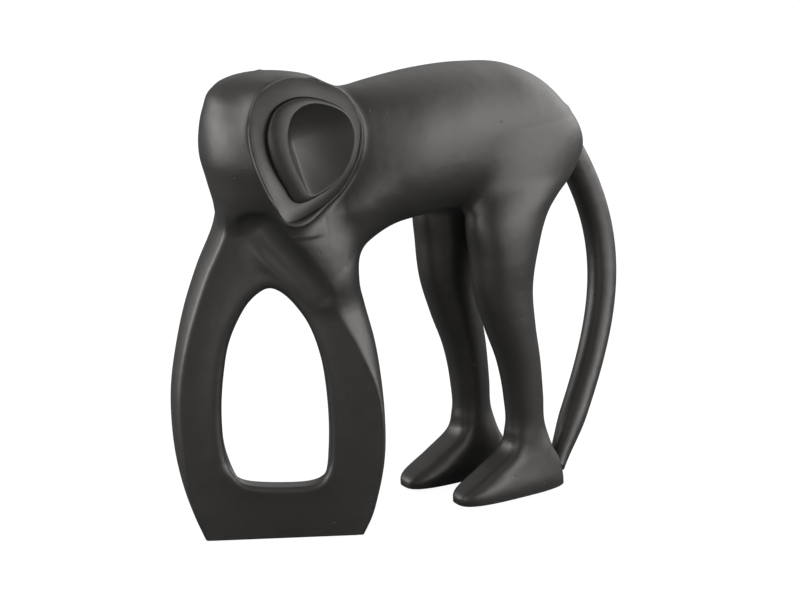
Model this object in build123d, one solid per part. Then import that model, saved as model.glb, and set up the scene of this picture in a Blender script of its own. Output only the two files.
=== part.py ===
"""A standing monkey figurine, cast in sections, pinned together and ground flush.

It rests on its two hind feet and on the closed loop that its arms make. Everything is first shaped as one
blank, the way it looks when finished. Saw planes at the neck, the shoulders, the hands and the hips then
divide the blank into castings, and dowels across the saw planes line them up again.

X points to the figure's left, Y to its tail and Z up. Lengths are in millimetres and angles in degrees. The
origin is on the floor, under the middle of the figure's box.
"""
from build123d import *
import os
from math import cos, sin, pi, radians, copysign

# Torso, an egg-ended barrel that lies along Y from its front end at Y zero. Heights hang on its axis
torso_length = 163.0
torso_width = 60.0
torso_height = 74.0
torso_axis_height = 194.0
torso_wall = 5.0

# Arm loop, an upright ring that faces forward and to the figure's left
loop_turn = 56.0
loop_forward = 27.0
loop_sideways = -2.0
loop_drop = 16.0
loop_width = 107.0
loop_depth = 29.0
crown_height = 46.5
bar_height = 25.5
opening_width = 54.2
opening_sideways = -3.7
edge_round = 4.5
rear_round = 8.0

# Head, an egg whose long axis is turned away from Y
head_width = 64.0
head_length = 80.0
head_height = 80.0
head_drop = 34.0
head_forward = 20.0
head_sideways = -12.0
head_turn = -10.3
head_wall = 9.0

# Face, a dished teardrop collar round a teardrop rim with a hollow in it
face_out = 24.0
face_shift = 2.3
face_rise = 45.0
face_width = 60.0
face_height = 70.5
face_thickness = 9.0
mount_lip = 0.6
mount_spread_across = 6.4
mount_spread_up = 1.4
mount_aside = -2.0
mount_up = -3.2
collar_dish = 4.0
collar_left = 10.05
collar_right = 3.45
collar_top = 9.95
collar_bottom = 8.25
rim_rise = 1.5
band_left = 9.1
band_right = 0.9
band_top = 3.2
band_bottom = 4.2
hollow_depth = 8.0

# Hind legs, alike but for their place
leg_spacing = 37.0
hips_sideways = 4.5
hip_rise = 6.0
ankle_inset = 49.0
right_leg_lead = 5.0
thigh_width = 34.0
thigh_depth = 62.0
shank_width = 19.4
shank_depth = 23.0
foot_length = 67.4
foot_width = 22.6
foot_turn = -7.0
leg_sway = 20.0

# Tail, a long tapered rod bowed out behind, from the rump to the left heel
tail_root_diameter = 17.2
tail_tip_diameter = 14.4
tail_root_inset = 12.5
tail_root_drop = 4.0
tail_heel_inset = 1.8
tail_heel_aside = 2.0
tail_heel_height = 8.0
tail_bow = 40.5
tail_bow_power = 0.9
tail_side_power = 1.5

# Saw planes
neck_place = 20.0
shoulder_drop = 22.0
hip_saw_drop = 17.0

# Dowels across the saw planes
dowel_diameter = 8.0
dowel_depth = 13.0
neck_pin_rise = 17.0
upper_pin_depth_share = 0.83
right_shoulder_pin_share = 0.187
left_shoulder_pin_share = 0.252
hip_pin_sway_share = 0.75

# Stud between rump and tail, some way down the tail
stud_diameter = 6.0
stud_depth = 12.0
stud_share = 0.085

# Core holes of torso and head, and the belly plug
core_hole_diameter = 16.0
core_hole_share = 0.35
head_core_diameter = 12.0
head_core_rise = 54.0
plug_head_diameter = 20.0
plug_head_depth = 2.0

# Floor pads, set in from the edge of the soles
pad_thickness = 1.0
pad_inset = 2.5

# How far cutters and zones reach past the figure
overrun = 400.0

# Counts and steps of the curves
oval_points = 16
round_steps = 4
tail_steps = 12
tail_step_share = 0.02

# Heights and places that follow from the sizes above
loop_height = torso_axis_height - loop_drop
opening_height = loop_height - crown_height - bar_height
shoulder_height = loop_height - shoulder_drop
belly_height = torso_axis_height - torso_height / 2
hip_saw_height = belly_height - hip_saw_drop
hip_height = torso_axis_height + hip_rise
head_bottom = torso_axis_height - head_drop
face_middle_height = head_bottom + face_rise
tail_root_height = torso_axis_height - tail_root_drop
tail_root_back = torso_length - tail_root_inset
ankle_back = torso_length - ankle_inset
left_ankle = (hips_sideways + leg_spacing / 2, ankle_back)
right_ankle = (hips_sideways - leg_spacing / 2, ankle_back - right_leg_lead)
loop_rear = loop_width / 2 * sin(radians(loop_turn)) + loop_depth * cos(radians(loop_turn)) - loop_forward
thigh_front = ankle_back - leg_sway - thigh_depth / 2
arms_rear = (loop_rear + thigh_front) / 2
neck_pin_height = shoulder_height + neck_pin_rise
head_core_height = head_bottom + head_core_rise
upper_pin_back = upper_pin_depth_share * loop_depth

# Sizes of the face's rings: the rim inside the collar, the hollow inside the band
rim_width = face_width - collar_left - collar_right
rim_height = face_height - collar_top - collar_bottom
rim_aside = (collar_left - collar_right) / 2
rim_up = (collar_bottom - collar_top) / 2
hollow_width = rim_width - band_left - band_right
hollow_height = rim_height - band_top - band_bottom
hollow_aside = rim_aside + (band_left - band_right) / 2
hollow_up = rim_up + (band_bottom - band_top) / 2

# Torso stations, front to back: along, rise, half width, half height
torso_shares = [
    (0.00, -0.02, 0.44, 0.94),
    (0.06, -0.02, 0.58, 0.98),
    (0.13, -0.01, 0.76, 0.99),
    (0.22, 0.00, 0.93, 1.00),
    (0.37, 0.02, 1.00, 1.00),
    (0.55, 0.01, 0.98, 1.00),
    (0.71, -0.03, 0.97, 0.96),
    (0.83, -0.09, 0.90, 0.79),
    (0.91, -0.115, 0.76, 0.53),
    (0.965, -0.13, 0.52, 0.29),
    (1.00, -0.135, 0.18, 0.11),
]
torso_power = 2.2

# Head stations, bottom to top: up, ahead, aside, half width, half length
head_shares = [
    (0.00, -0.100, -0.080, 0.42, 0.43),
    (0.09, -0.075, -0.060, 0.59, 0.59),
    (0.21, -0.040, -0.030, 0.765, 0.75),
    (0.35, -0.012, -0.010, 0.90, 0.895),
    (0.50, 0.000, 0.000, 1.00, 1.00),
    (0.65, 0.000, 0.000, 0.98, 1.00),
    (0.785, -0.020, -0.015, 0.85, 0.90),
    (0.892, -0.056, -0.045, 0.63, 0.72),
    (0.947, -0.075, -0.060, 0.44, 0.53),
    (0.983, -0.094, -0.068, 0.25, 0.30),
    (1.00, -0.100, -0.070, 0.10, 0.13),
]
head_power = 2.1

# Leg stations, top to bottom: up, sway, lean towards the other leg, half width, half depth
thigh_shares = [
    (1.00, 0.15, 0.24, 0.60, 0.80),
    (0.95, 0.05, 0.15, 0.78, 0.95),
    (0.86, -0.15, 0.07, 0.90, 1.00),
    (0.77, -0.71, 0.02, 0.94, 0.79),
    (0.675, -0.85, 0.00, 0.90, 0.625),
    (0.575, -0.85, 0.00, 0.79, 0.54),
    (0.47, -0.60, 0.00, 0.71, 0.46),
]
shank_shares = [
    (0.37, -0.28, 0.00, 1.10, 1.05),
    (0.266, -0.08, 0.00, 1.00, 0.96),
    (0.18, 0.00, 0.00, 0.97, 1.00),
]
foot_shares = [
    (0.12, 0.02, 0.00, 0.90, 0.43),
    (0.076, -0.22, 0.00, 0.95, 0.72),
    (0.030, -0.54, 0.00, 1.00, 0.98),
    (0.000, -0.54, 0.00, 0.98, 1.00),
]
leg_power = 2.1
foot_power = 3.0

# Where the tail meets the left heel
sole_sway_share = foot_shares[-1][1]
heel_end = left_ankle[1] + sole_sway_share * leg_sway + foot_length / 2
tail_heel_back = heel_end - tail_heel_inset
tail_heel_sideways = left_ankle[0] + tail_heel_aside

# Arm loop stations, floor to neck: up, left flank, left crease, right crease, right flank, depth
loop_shares = [
    (0.00, 0.380, 0.370, 0.366, 0.379, 0.93),
    (0.06, 0.424, 0.409, 0.412, 0.422, 0.97),
    (0.12, 0.460, 0.438, 0.439, 0.448, 1.00),
    (0.225, 0.502, 0.467, 0.470, 0.478, 1.00),
    (0.34, 0.522, 0.483, 0.472, 0.482, 1.00),
    (0.45, 0.520, 0.481, 0.440, 0.468, 1.04),
    (0.56, 0.493, 0.455, 0.360, 0.440, 1.14),
    (0.675, 0.448, 0.405, 0.252, 0.391, 1.32),
    (0.79, 0.383, 0.340, 0.150, 0.352, 1.44),
    (0.90, 0.305, 0.262, 0.060, 0.460, 1.64),
    (1.00, 0.280, 0.230, 0.000, 0.500, 1.75),
]

# Rear of a loop section, right to left: how far to the side of the widest point, how deep
loop_rear_shares = [(0.86, 0.84), (0.45, 0.98), (-0.45, 0.98), (-0.86, 0.84)]
flank_middle_share = 0.50
crease_near_share = 0.22
crease_drop_share = 0.85

# Window in the loop, round from its left side: across, up
opening_shares = [
    (-0.50, 0.388),
    (-0.48, 0.196),
    (-0.407, 0.081),
    (-0.266, 0.019),
    (0.109, 0.000),
    (0.371, 0.014),
    (0.475, 0.081),
    (0.500, 0.196),
    (0.490, 0.388),
    (0.440, 0.598),
    (0.335, 0.790),
    (0.180, 0.928),
    (0.034, 0.995),
    (-0.098, 0.995),
    (-0.262, 0.914),
    (-0.410, 0.751),
    (-0.473, 0.579),
]

# Steps of the bowl-shaped hollow in the face: how deep, how large
hollow_shares = [(0.0, 1.0), (0.5, 0.8), (1.0, 0.3)]

# Teardrop, clockwise from the point at its lower left: across, up
teardrop_shares = [
    (-0.150, -0.500),
    (-0.295, -0.333),
    (-0.415, -0.130),
    (-0.480, 0.050),
    (-0.490, 0.220),
    (-0.420, 0.390),
    (-0.270, 0.480),
    (-0.080, 0.500),
    (0.150, 0.450),
    (0.360, 0.350),
    (0.470, 0.210),
    (0.500, 0.050),
    (0.450, -0.140),
    (0.330, -0.310),
    (0.130, -0.430),
]


def squared_oval(half_width, half_height, roundness):
    """Closed curve |x/a|^p + |y/b|^p = 1: an ellipse at power 2, squarer above it."""
    points = []
    for step in range(oval_points):
        angle = 2 * pi * step / oval_points
        across = copysign(abs(cos(angle)) ** (2 / roundness), cos(angle))
        along = copysign(abs(sin(angle)) ** (2 / roundness), sin(angle))
        points.append((half_width * across, half_height * along))
    return make_face(Spline(*points, periodic=True))


def level(x, y, height, turn=0):
    """Horizontal plane at a place, turned about the vertical."""
    along = (cos(radians(turn)), sin(radians(turn)), 0)
    return Plane(origin=(x, y, height), x_dir=along, z_dir=(0, 0, 1))


def block(low, high):
    """Plain block between two corners."""
    size = [b - a for a, b in zip(low, high)]
    middle = [(a + b) / 2 for a, b in zip(low, high)]
    return Pos(*middle) * Box(*size)


def torso_blank(inset=0):
    """Oval stations on upright planes across Y. An inset leaves out the stations at both ends."""
    rows = torso_shares[3:8] if inset else torso_shares
    sections = []
    for along, rise, wide, high in rows:
        plane = Plane(
            origin=(hips_sideways * along, along * torso_length, torso_axis_height + rise * torso_height),
            x_dir=(1, 0, 0),
            z_dir=(0, 1, 0),
        )
        half_width = wide * torso_width / 2 - inset
        half_height = high * torso_height / 2 - inset
        sections.append(plane * squared_oval(half_width, half_height, torso_power))
    return loft(sections)


def head_blank(inset=0):
    """Oval stations on level planes. An inset leaves out the stations at both ends."""
    rows = head_shares[3:9] if inset else head_shares
    sections = []
    for up, ahead, aside, wide, long in rows:
        plane = level(
            head_sideways + aside * head_width,
            -head_forward + ahead * head_length,
            head_bottom + up * head_height,
            head_turn,
        )
        half_width = wide * head_width / 2 - inset
        half_length = long * head_length / 2 - inset
        sections.append(plane * squared_oval(half_width, half_length, head_power))
    return loft(sections)


def leg_blank(x, y):
    """Thigh, shank and foot, from inside the hip down to the sole."""
    parts_of_leg = (
        (thigh_shares, thigh_width, thigh_depth, 0, leg_power),
        (shank_shares, shank_width, shank_depth, 0, leg_power),
        (foot_shares, foot_width, foot_length, foot_turn, foot_power),
    )
    sections = []
    for rows, width, depth, turn, power in parts_of_leg:
        for up, sway, lean, wide, deep in rows:
            inward = copysign(lean * leg_spacing, hips_sideways - x)
            plane = level(x + inward, y + sway * leg_sway, up * hip_height, turn)
            sections.append(plane * squared_oval(wide * width / 2, deep * depth / 2, power))
    return loft(sections)


loop_side = Vector(cos(radians(loop_turn)), sin(radians(loop_turn)), 0)
loop_front = Vector(sin(radians(loop_turn)), -cos(radians(loop_turn)), 0)


def loop_point(along, out, height):
    """Place given along the loop, out of its front face and above the floor."""
    return Vector(loop_sideways, -loop_forward, height) + loop_side * along + loop_front * out


def loop_outline(left, crease_left, crease_right, right, depth):
    """Flat front between two creases, closed behind by one round curve."""
    near = crease_near_share * depth
    back = [(crease_right, 0)]
    back.append((crease_right + crease_drop_share * (right - crease_right), -near))
    back.append((right, -flank_middle_share * depth))
    for aside, deep in loop_rear_shares:
        back.append((aside * (right if aside > 0 else left), -deep * depth))
    back.append((-left, -flank_middle_share * depth))
    back.append((-crease_left - crease_drop_share * (left - crease_left), -near))
    back.append((-crease_left, 0))
    return make_face([Line(back[-1], back[0]), Spline(*back)])


def loop_section(row, height, inset=0):
    """One station's outline at a height. Level planes here have y pointing out of the front."""
    up, left, crease_left, crease_right, right, deep = row
    sizes = [share * loop_width - inset for share in (left, crease_left, crease_right, right)]
    plane = Plane(origin=loop_point(0, -inset, height), x_dir=loop_side, z_dir=(0, 0, -1))
    return plane * loop_outline(*sizes, deep * loop_depth - 2 * inset)


def loop_blank():
    return loft([loop_section(row, row[0] * loop_height) for row in loop_shares])


def opening_outline(out, flare):
    """Egg-shaped window on an upright plane, some way out of the loop's front, grown by a flare."""
    width = opening_width + 2 * flare
    height = opening_height + 2 * flare
    points = [(opening_sideways + x * width, z * height - height / 2) for x, z in opening_shares]
    plane = Plane(
        origin=loop_point(0, out, bar_height + opening_height / 2), x_dir=loop_side, z_dir=loop_front
    )
    return plane * make_face(Spline(*points, periodic=True))


def opening_cutter():
    """Straight window whose front and rear edges are rounded over."""
    front = []
    rear = []
    for step in range(round_steps + 1):
        turn = pi / 2 * step / round_steps
        front.append(opening_outline(edge_round * (cos(turn) - 1), edge_round * (1 - sin(turn))))
        rear.append(opening_outline(rear_round * (1 - sin(turn)) - loop_depth, rear_round * (1 - cos(turn))))
    straight = extrude(front[-1], amount=loop_depth - edge_round - rear_round, dir=-loop_front)
    behind = extrude(rear[-1], amount=overrun, dir=-loop_front)
    return loft(front) + straight + loft(rear) + behind


def face_plane(out=0):
    """Upright plane of the face: x runs back along the face, y up and z out of it."""
    normal = Vector(cos(radians(head_turn)), sin(radians(head_turn)), 0)
    along = Vector(-sin(radians(head_turn)), cos(radians(head_turn)), 0)
    middle = Vector(head_sideways, -head_forward, face_middle_height)
    return Plane(origin=middle + normal * (face_out + out) + along * face_shift, x_dir=along, z_dir=normal)


def teardrop(out, width, height, aside=0, up=0):
    """Teardrop face whose point hangs at the lower left, some way out of the face plane."""
    points = [(aside + x * width, up + y * height) for x, y in teardrop_shares]
    return face_plane(out) * make_face(Spline(*points, points[0]))


def face_mount():
    """Swelling of the head that carries its outline forward to a lip round the teardrop of the face."""
    front_size = (face_width + 2 * mount_lip, face_height + 2 * mount_lip)
    middle_size = (front_size[0] + mount_spread_across, front_size[1] + mount_spread_up)
    back_size = (front_size[0] + 2 * mount_spread_across, front_size[1] + 2 * mount_spread_up)
    return loft([
        teardrop(-face_out, *back_size, mount_aside, mount_up),
        teardrop(-face_out / 2, *middle_size, mount_aside / 2, mount_up / 2),
        teardrop(0, *front_size),
    ])


def tail_point(share):
    """Straight line from rump to heel, bowed out behind by a skewed half wave."""
    bow = tail_bow * sin(pi * share ** tail_bow_power)
    return Vector(
        tail_heel_sideways * share ** tail_side_power,
        tail_root_back + (tail_heel_back - tail_root_back) * share + bow,
        tail_root_height + (tail_heel_height - tail_root_height) * share,
    )


def tail_direction(share):
    ahead = tail_point(min(1, share + tail_step_share))
    return (ahead - tail_point(max(0, share - tail_step_share))).normalized()


def tail_blank():
    sections = []
    for step in range(tail_steps + 1):
        share = step / tail_steps
        plane = Plane(origin=tail_point(share), x_dir=(1, 0, 0), z_dir=tail_direction(share))
        diameter = tail_root_diameter + (tail_tip_diameter - tail_root_diameter) * share
        sections.append(plane * Circle(diameter / 2).face())
    return loft(sections)


def pin(middle, direction, diameter, depth):
    """Round pin that reaches the same depth to each side of its middle."""
    plane = Plane(origin=middle, z_dir=direction)
    return plane * Cylinder(diameter / 2, 2 * depth)


def largest(shape):
    return max(shape.solids(), key=lambda solid: solid.volume)


# The whole figure as one blank, standing on its pads
blank = loop_blank() - opening_cutter()
for limb in (torso_blank(), head_blank(), face_mount()):
    blank = blank + limb
for ankle in (left_ankle, right_ankle):
    blank = blank + leg_blank(*ankle)
blank = blank & block((-overrun, -overrun, pad_thickness), (overrun, overrun, overrun))

# Face pieces, let into the head
collar_back = teardrop(-face_thickness, face_width, face_height)
collar_slab = extrude(collar_back, amount=face_thickness, dir=face_plane().z_dir)
dish = loft([
    teardrop(0, face_width, face_height),
    teardrop(-collar_dish, rim_width, rim_height, rim_aside, rim_up),
])
rim_back = teardrop(-face_thickness, rim_width, rim_height, rim_aside, rim_up)
rim_slab = extrude(rim_back, amount=face_thickness, dir=face_plane().z_dir)
rim_crown = loft([
    teardrop(0, rim_width, rim_height, rim_aside, rim_up),
    teardrop(rim_rise, hollow_width, hollow_height, hollow_aside, hollow_up),
])
hollow_steps = []
for depth_share, size_share in hollow_shares:
    out = rim_rise - depth_share * hollow_depth
    hollow_size = (size_share * hollow_width, size_share * hollow_height)
    hollow_steps.append(teardrop(out, *hollow_size, hollow_aside, hollow_up))
hollow = loft(hollow_steps)
face_room = extrude(collar_back, amount=overrun, dir=face_plane().z_dir)
face_ring = collar_slab - dish - rim_slab
face_bowl = (rim_slab + rim_crown) - hollow
outer = blank - face_room

# Tail, coped onto the rump and the heel
tail = largest(tail_blank() - outer)
tail_pin = pin(tail_point(stud_share), tail_direction(stud_share), stud_diameter, stud_depth)

# Castings between the saw planes
loop_frame = Plane(origin=loop_point(0, 0, 0), x_dir=loop_side, z_dir=(0, 0, 1))
head_zone = loop_frame * block((-overrun, -overrun, shoulder_height), (neck_place, overrun, overrun))
arm_zone = block((-overrun, -overrun, 0), (overrun, arms_rear, shoulder_height))
right_hand_zone = loop_frame * block((-overrun, -overrun, 0), (0, overrun, shoulder_height))
leg_zone = block((-overrun, arms_rear, 0), (overrun, overrun, hip_saw_height))
left_zone = block((hips_sideways, arms_rear, 0), (overrun, overrun, hip_saw_height))

arms = outer & arm_zone
legs = outer & leg_zone
right_arm = arms & right_hand_zone
left_arm = arms - right_hand_zone
left_hind_leg = legs & left_zone
right_hind_leg = legs - left_zone
head = outer & head_zone
torso = outer - head_zone - arm_zone - leg_zone

# Dowels, each half in one casting and half in the next
neck_pin_middle = loop_point(neck_place, -upper_pin_back, neck_pin_height)
right_shoulder = loop_point(-right_shoulder_pin_share * loop_width, -upper_pin_back, shoulder_height)
left_shoulder = loop_point(left_shoulder_pin_share * loop_width, -upper_pin_back, shoulder_height)
hands = loop_point(0, -loop_depth / 2, bar_height / 2)
hip_pin_lead = Vector(0, hip_pin_sway_share * leg_sway, 0)
right_hip = Vector(*right_ankle, hip_saw_height) - hip_pin_lead
left_hip = Vector(*left_ankle, hip_saw_height) - hip_pin_lead
upright = Vector(0, 0, 1)
neck_pin = pin(neck_pin_middle, loop_side, dowel_diameter, dowel_depth)
right_shoulder_pin = pin(right_shoulder, upright, dowel_diameter, dowel_depth)
left_shoulder_pin = pin(left_shoulder, upright, dowel_diameter, dowel_depth)
hand_pin = pin(hands, loop_side, dowel_diameter, dowel_depth)
right_hip_pin = pin(right_hip, upright, dowel_diameter, dowel_depth)
left_hip_pin = pin(left_hip, upright, dowel_diameter, dowel_depth)
head = head - neck_pin - right_shoulder_pin
torso = torso - neck_pin - left_shoulder_pin - left_hip_pin - right_hip_pin - tail_pin
right_arm = right_arm - right_shoulder_pin - hand_pin
left_arm = left_arm - left_shoulder_pin - hand_pin
left_hind_leg = left_hind_leg - left_hip_pin
right_hind_leg = right_hind_leg - right_hip_pin
tail = tail - tail_pin

# Cores: the torso's opens at the belly, the head's at the neck
head_core_zone = loop_frame * block((-overrun, -overrun, 0), (neck_place - head_wall, overrun, overrun))
head_core_mouth = loop_point(neck_place - head_wall, -upper_pin_back, head_core_height)
head_core = head_blank(head_wall) & head_core_zone
head_core = head_core + pin(head_core_mouth, loop_side, head_core_diameter, head_wall)
head = head - (head_core - torso)
belly = Vector(0, core_hole_share * torso_length, belly_height)
core_hole = pin(belly + Vector(0, 0, torso_wall), upright, core_hole_diameter, torso_wall)
plug_head = pin(belly, upright, plug_head_diameter, plug_head_depth)
core_plug = largest(torso & (core_hole + plug_head))
torso = torso - core_plug - torso_blank(torso_wall)
core_plug = core_plug - torso_blank(torso_wall)

# Pads under the sawn-flat soles
hand_pad = extrude(loop_section(loop_shares[0], 0, pad_inset), amount=pad_thickness, dir=(0, 0, 1))


def foot_pad(x, y):
    """Thin pad under a foot, set in from the edge of its sole."""
    up, sway, lean, wide, deep = foot_shares[-1]
    plane = level(x, y + sway * leg_sway, 0, foot_turn)
    outline = squared_oval(
        wide * foot_width / 2 - pad_inset, deep * foot_length / 2 - pad_inset, foot_power
    )
    return extrude(plane * outline, amount=pad_thickness, dir=(0, 0, 1))


nodes = {
    "torso": torso,
    "head": head,
    "face_ring": face_ring,
    "face_bowl": face_bowl,
    "right_arm": right_arm,
    "left_arm": left_arm,
    "right_hind_leg": right_hind_leg,
    "left_hind_leg": left_hind_leg,
    "tail": tail,
    "neck_pin": neck_pin,
    "right_shoulder_pin": right_shoulder_pin,
    "left_shoulder_pin": left_shoulder_pin,
    "hand_pin": hand_pin,
    "right_hip_pin": right_hip_pin,
    "left_hip_pin": left_hip_pin,
    "tail_pin": tail_pin,
    "core_plug": core_plug,
    "hand_pad": hand_pad,
    "right_foot_pad": foot_pad(*right_ankle),
    "left_foot_pad": foot_pad(*left_ankle),
}

# The origin goes to the floor under the middle of the whole figure's box
box = Compound(children=[Compound(piece.solids()) for piece in nodes.values()]).bounding_box()
centring = Pos(-box.center().X, -box.center().Y, 0)
os.makedirs("parts", exist_ok=True)
for name, piece in nodes.items():
    moved = centring * Compound(piece.solids())
    export_step(moved, f"parts/{name}.step")
    corner = moved.bounding_box()
    print(name, len(piece.solids()), round(piece.volume), [round(v, 1) for v in (*corner.min, *corner.max)])
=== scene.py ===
"""The looks of a cast monkey figurine, built round its packed castings.

The skin is worked out as one distance field over a fine lattice, so that limbs flow into each other as they
do on a casting. A net is drawn over the field's zero surface and cut along the joints into the castings. The
face and the tail are surfaces of two parameters. The dowels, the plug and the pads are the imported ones.
Lengths are metres, with X to the figure's left, Y to its tail and Z up.
"""
from math import cos, sin, pi, radians

import bmesh
import bpy
import numpy as np
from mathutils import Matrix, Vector


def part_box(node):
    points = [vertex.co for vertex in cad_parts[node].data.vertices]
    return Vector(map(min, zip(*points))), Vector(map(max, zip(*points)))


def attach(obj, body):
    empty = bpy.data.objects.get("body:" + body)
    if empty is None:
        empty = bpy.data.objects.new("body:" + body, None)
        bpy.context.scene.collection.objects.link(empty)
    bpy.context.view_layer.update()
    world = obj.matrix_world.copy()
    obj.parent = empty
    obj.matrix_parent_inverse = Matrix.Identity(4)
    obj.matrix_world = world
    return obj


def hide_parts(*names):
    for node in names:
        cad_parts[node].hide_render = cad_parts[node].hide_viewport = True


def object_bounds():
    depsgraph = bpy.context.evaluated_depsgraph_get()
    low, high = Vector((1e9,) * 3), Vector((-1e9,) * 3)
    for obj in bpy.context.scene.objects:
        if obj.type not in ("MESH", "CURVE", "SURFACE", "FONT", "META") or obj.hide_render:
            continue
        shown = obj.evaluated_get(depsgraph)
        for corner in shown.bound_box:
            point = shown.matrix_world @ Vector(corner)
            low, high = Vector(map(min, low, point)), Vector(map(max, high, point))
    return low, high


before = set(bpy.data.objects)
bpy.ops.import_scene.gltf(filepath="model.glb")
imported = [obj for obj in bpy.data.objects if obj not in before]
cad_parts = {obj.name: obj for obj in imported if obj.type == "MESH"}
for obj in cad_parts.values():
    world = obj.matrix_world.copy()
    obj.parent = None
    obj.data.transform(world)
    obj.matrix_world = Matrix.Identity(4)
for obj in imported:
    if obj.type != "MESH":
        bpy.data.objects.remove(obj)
cad_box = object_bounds()

# Spacing of the lattice
step = 0.0008
lattice_margin = 0.004
sharp_ease = step / 100

# Torso
torso_length = 0.163
torso_width = 0.060
torso_height = 0.074
torso_axis_height = 0.194
torso_power = 2.2
rump_round = 0.015

# Arm loop
loop_turn = radians(56)
loop_forward = 0.027
loop_sideways = -0.002
loop_height = 0.178
loop_width = 0.107
loop_depth = 0.029
loop_power = 2.5
crease_round = 0.0014
loop_top_round = 0.012
opening_width = 0.0542
opening_height = 0.1035
opening_sideways = -0.0037
bar_height = 0.0280
opening_round_left = 0.0062
opening_round_right = 0.0034
opening_round_rear = 0.014
bar_round_front = 0.0030
bar_round_rear = 0.029
front_dish = 0.0010
rear_margin = 0.0005
loop_mix = 0.010
bar_blend_low = 0.003
bar_blend_high = 0.014
crease_fade_start = 0.001
crease_fade_end = 0.004
opening_middle = 0.45

# Chest edge under the face's point, and the hollow under the cheek beside it. Each end is a ball: along the
# loop, out of it, up, radius
chest_top = (0.0070, -0.0070, 0.1580, 0.0160)
chest_end = (0.0220, -0.0115, 0.1380, 0.0125)
cheek_top = (-0.0125, 0.0125, 0.1615, 0.0129)
cheek_end = (0.0190, 0.0100, 0.1270, 0.0093)
chest_ease = 0.014
cheek_ease = 0.0025

# Head
head_width = 0.064
head_length = 0.080
head_height = 0.08
head_bottom = 0.160
head_forward = 0.020
head_sideways = -0.012
head_turn = radians(-10.3)
head_power = 2.1
head_top_round = 0.006
head_bottom_round = 0.014

# Face. A drop or rise gives how far a line lies below or above the face's plane at left, top, right and bottom
face_out = 0.024
face_shift = 0.0023
face_middle_height = 0.205
face_width = 0.060
face_height = 0.0705
face_thickness = 0.009
recess_slant = 0.5
recess_round_left = 0.0030
recess_round_right = 0.0006
recess_round_span = (0.25, -0.35)
ring_overlap = 0.0004
collar_left = 0.01005
collar_right = 0.00345
collar_top = 0.00995
collar_bottom = 0.00825
band_left = 0.0091
band_right = 0.0009
band_top = 0.0032
band_bottom = 0.0042
rim_rise = 0.0015
collar_edge_drop = (0.0013, 0.0006, 0.0003, 0.0005)
collar_foot_drop = (0.0042, 0.0014, 0.0006, 0.0030)
rim_wall_rise = (-0.0006, 0.0002, 0.0002, -0.0004)
face_crease_angle = radians(38)
collar_rows = 24
collar_edge_round = 0.0003
collar_curve = 2.2
groove_depth = 0.0012
groove_tuck = 0.0002
rim_gap = 0.008
rim_round = 0.0008
rim_skew = 0.7
hollow_rows = 40
hollow_place = (-0.0030, 0.0020)
hollow_depth = 0.0080
hollow_curve_power = 1.9
mount_lip = 0.0005
mount_spread_across = 0.0064
mount_spread_up = 0.0014
mount_aside = -0.002
mount_up = -0.0032
mount_ease = 0.004

# Hind legs
leg_spacing = 0.037
hips_sideways = 0.0045
hip_height = 0.200
ankle_back = 0.114
right_leg_lead = 0.005
thigh_width = 0.034
thigh_depth = 0.062
shank_width = 0.0194
shank_depth = 0.023
foot_length = 0.0674
foot_width = 0.0226
foot_turn = radians(-7)
leg_sway = 0.020
leg_power = 2.1
foot_power = 3.0

# Tail
tail_root_diameter = 0.0172
tail_tip_diameter = 0.0144
tail_root_back = 0.1505
tail_root_height = 0.190
tail_heel_back = 0.1351
tail_heel_sideways = 0.025
tail_heel_height = 0.008
tail_bow = 0.0403
tail_bow_power = 0.9
tail_side_power = 1.5
tail_stub_length = 0.016
tail_stub_share = 0.47
tail_share_first = 0.03
tail_share_last = 1.0
tail_taper_start = 0.86
tail_taper = 0.30
tail_ridge = 0.018
tail_ridge_span = 0.1

# Joints between the castings
neck_place = 0.020
shoulder_height = 0.156
hip_saw_height = 0.140
loop_rear = loop_width / 2 * sin(loop_turn) + loop_depth * cos(loop_turn) - loop_forward
thigh_front = ankle_back - leg_sway - thigh_depth / 2
arms_rear = (loop_rear + thigh_front) / 2
sole_height = 0.001

# How softly limbs flow into each other, and where the loop's front has its own softness
hip_ease = 0.008
shoulder_ease = 0.014
front_ease = 0.011
front_ease_out = (-0.020, -0.006)
front_ease_up = (0.172, 0.158)
neck_ease = 0.006
tail_ease = 0.003

# Stations, as in the castings: place along the limb, then shares of its sizes
torso_shares = [
    (0.00, -0.02, 0.44, 0.94),
    (0.06, -0.02, 0.58, 0.98),
    (0.13, -0.01, 0.76, 0.99),
    (0.22, 0.00, 0.93, 1.00),
    (0.37, 0.02, 1.00, 1.00),
    (0.55, 0.01, 0.98, 1.00),
    (0.71, -0.03, 0.97, 0.96),
    (0.83, -0.09, 0.90, 0.79),
    (0.91, -0.125, 0.73, 0.49),
    (0.965, -0.15, 0.48, 0.25),
    (1.00, -0.155, 0.17, 0.10),
]
head_shares = [
    (0.00, -0.100, -0.080, 0.42, 0.43),
    (0.09, -0.075, -0.060, 0.59, 0.59),
    (0.21, -0.040, -0.030, 0.765, 0.75),
    (0.35, -0.012, -0.010, 0.90, 0.895),
    (0.50, 0.000, 0.000, 1.00, 1.00),
    (0.65, 0.000, 0.000, 0.98, 1.00),
    (0.785, -0.020, -0.015, 0.85, 0.90),
    (0.892, -0.056, -0.045, 0.63, 0.72),
    (0.947, -0.075, -0.060, 0.44, 0.53),
    (0.983, -0.094, -0.068, 0.25, 0.30),
    (1.00, -0.100, -0.070, 0.10, 0.13),
]
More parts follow.
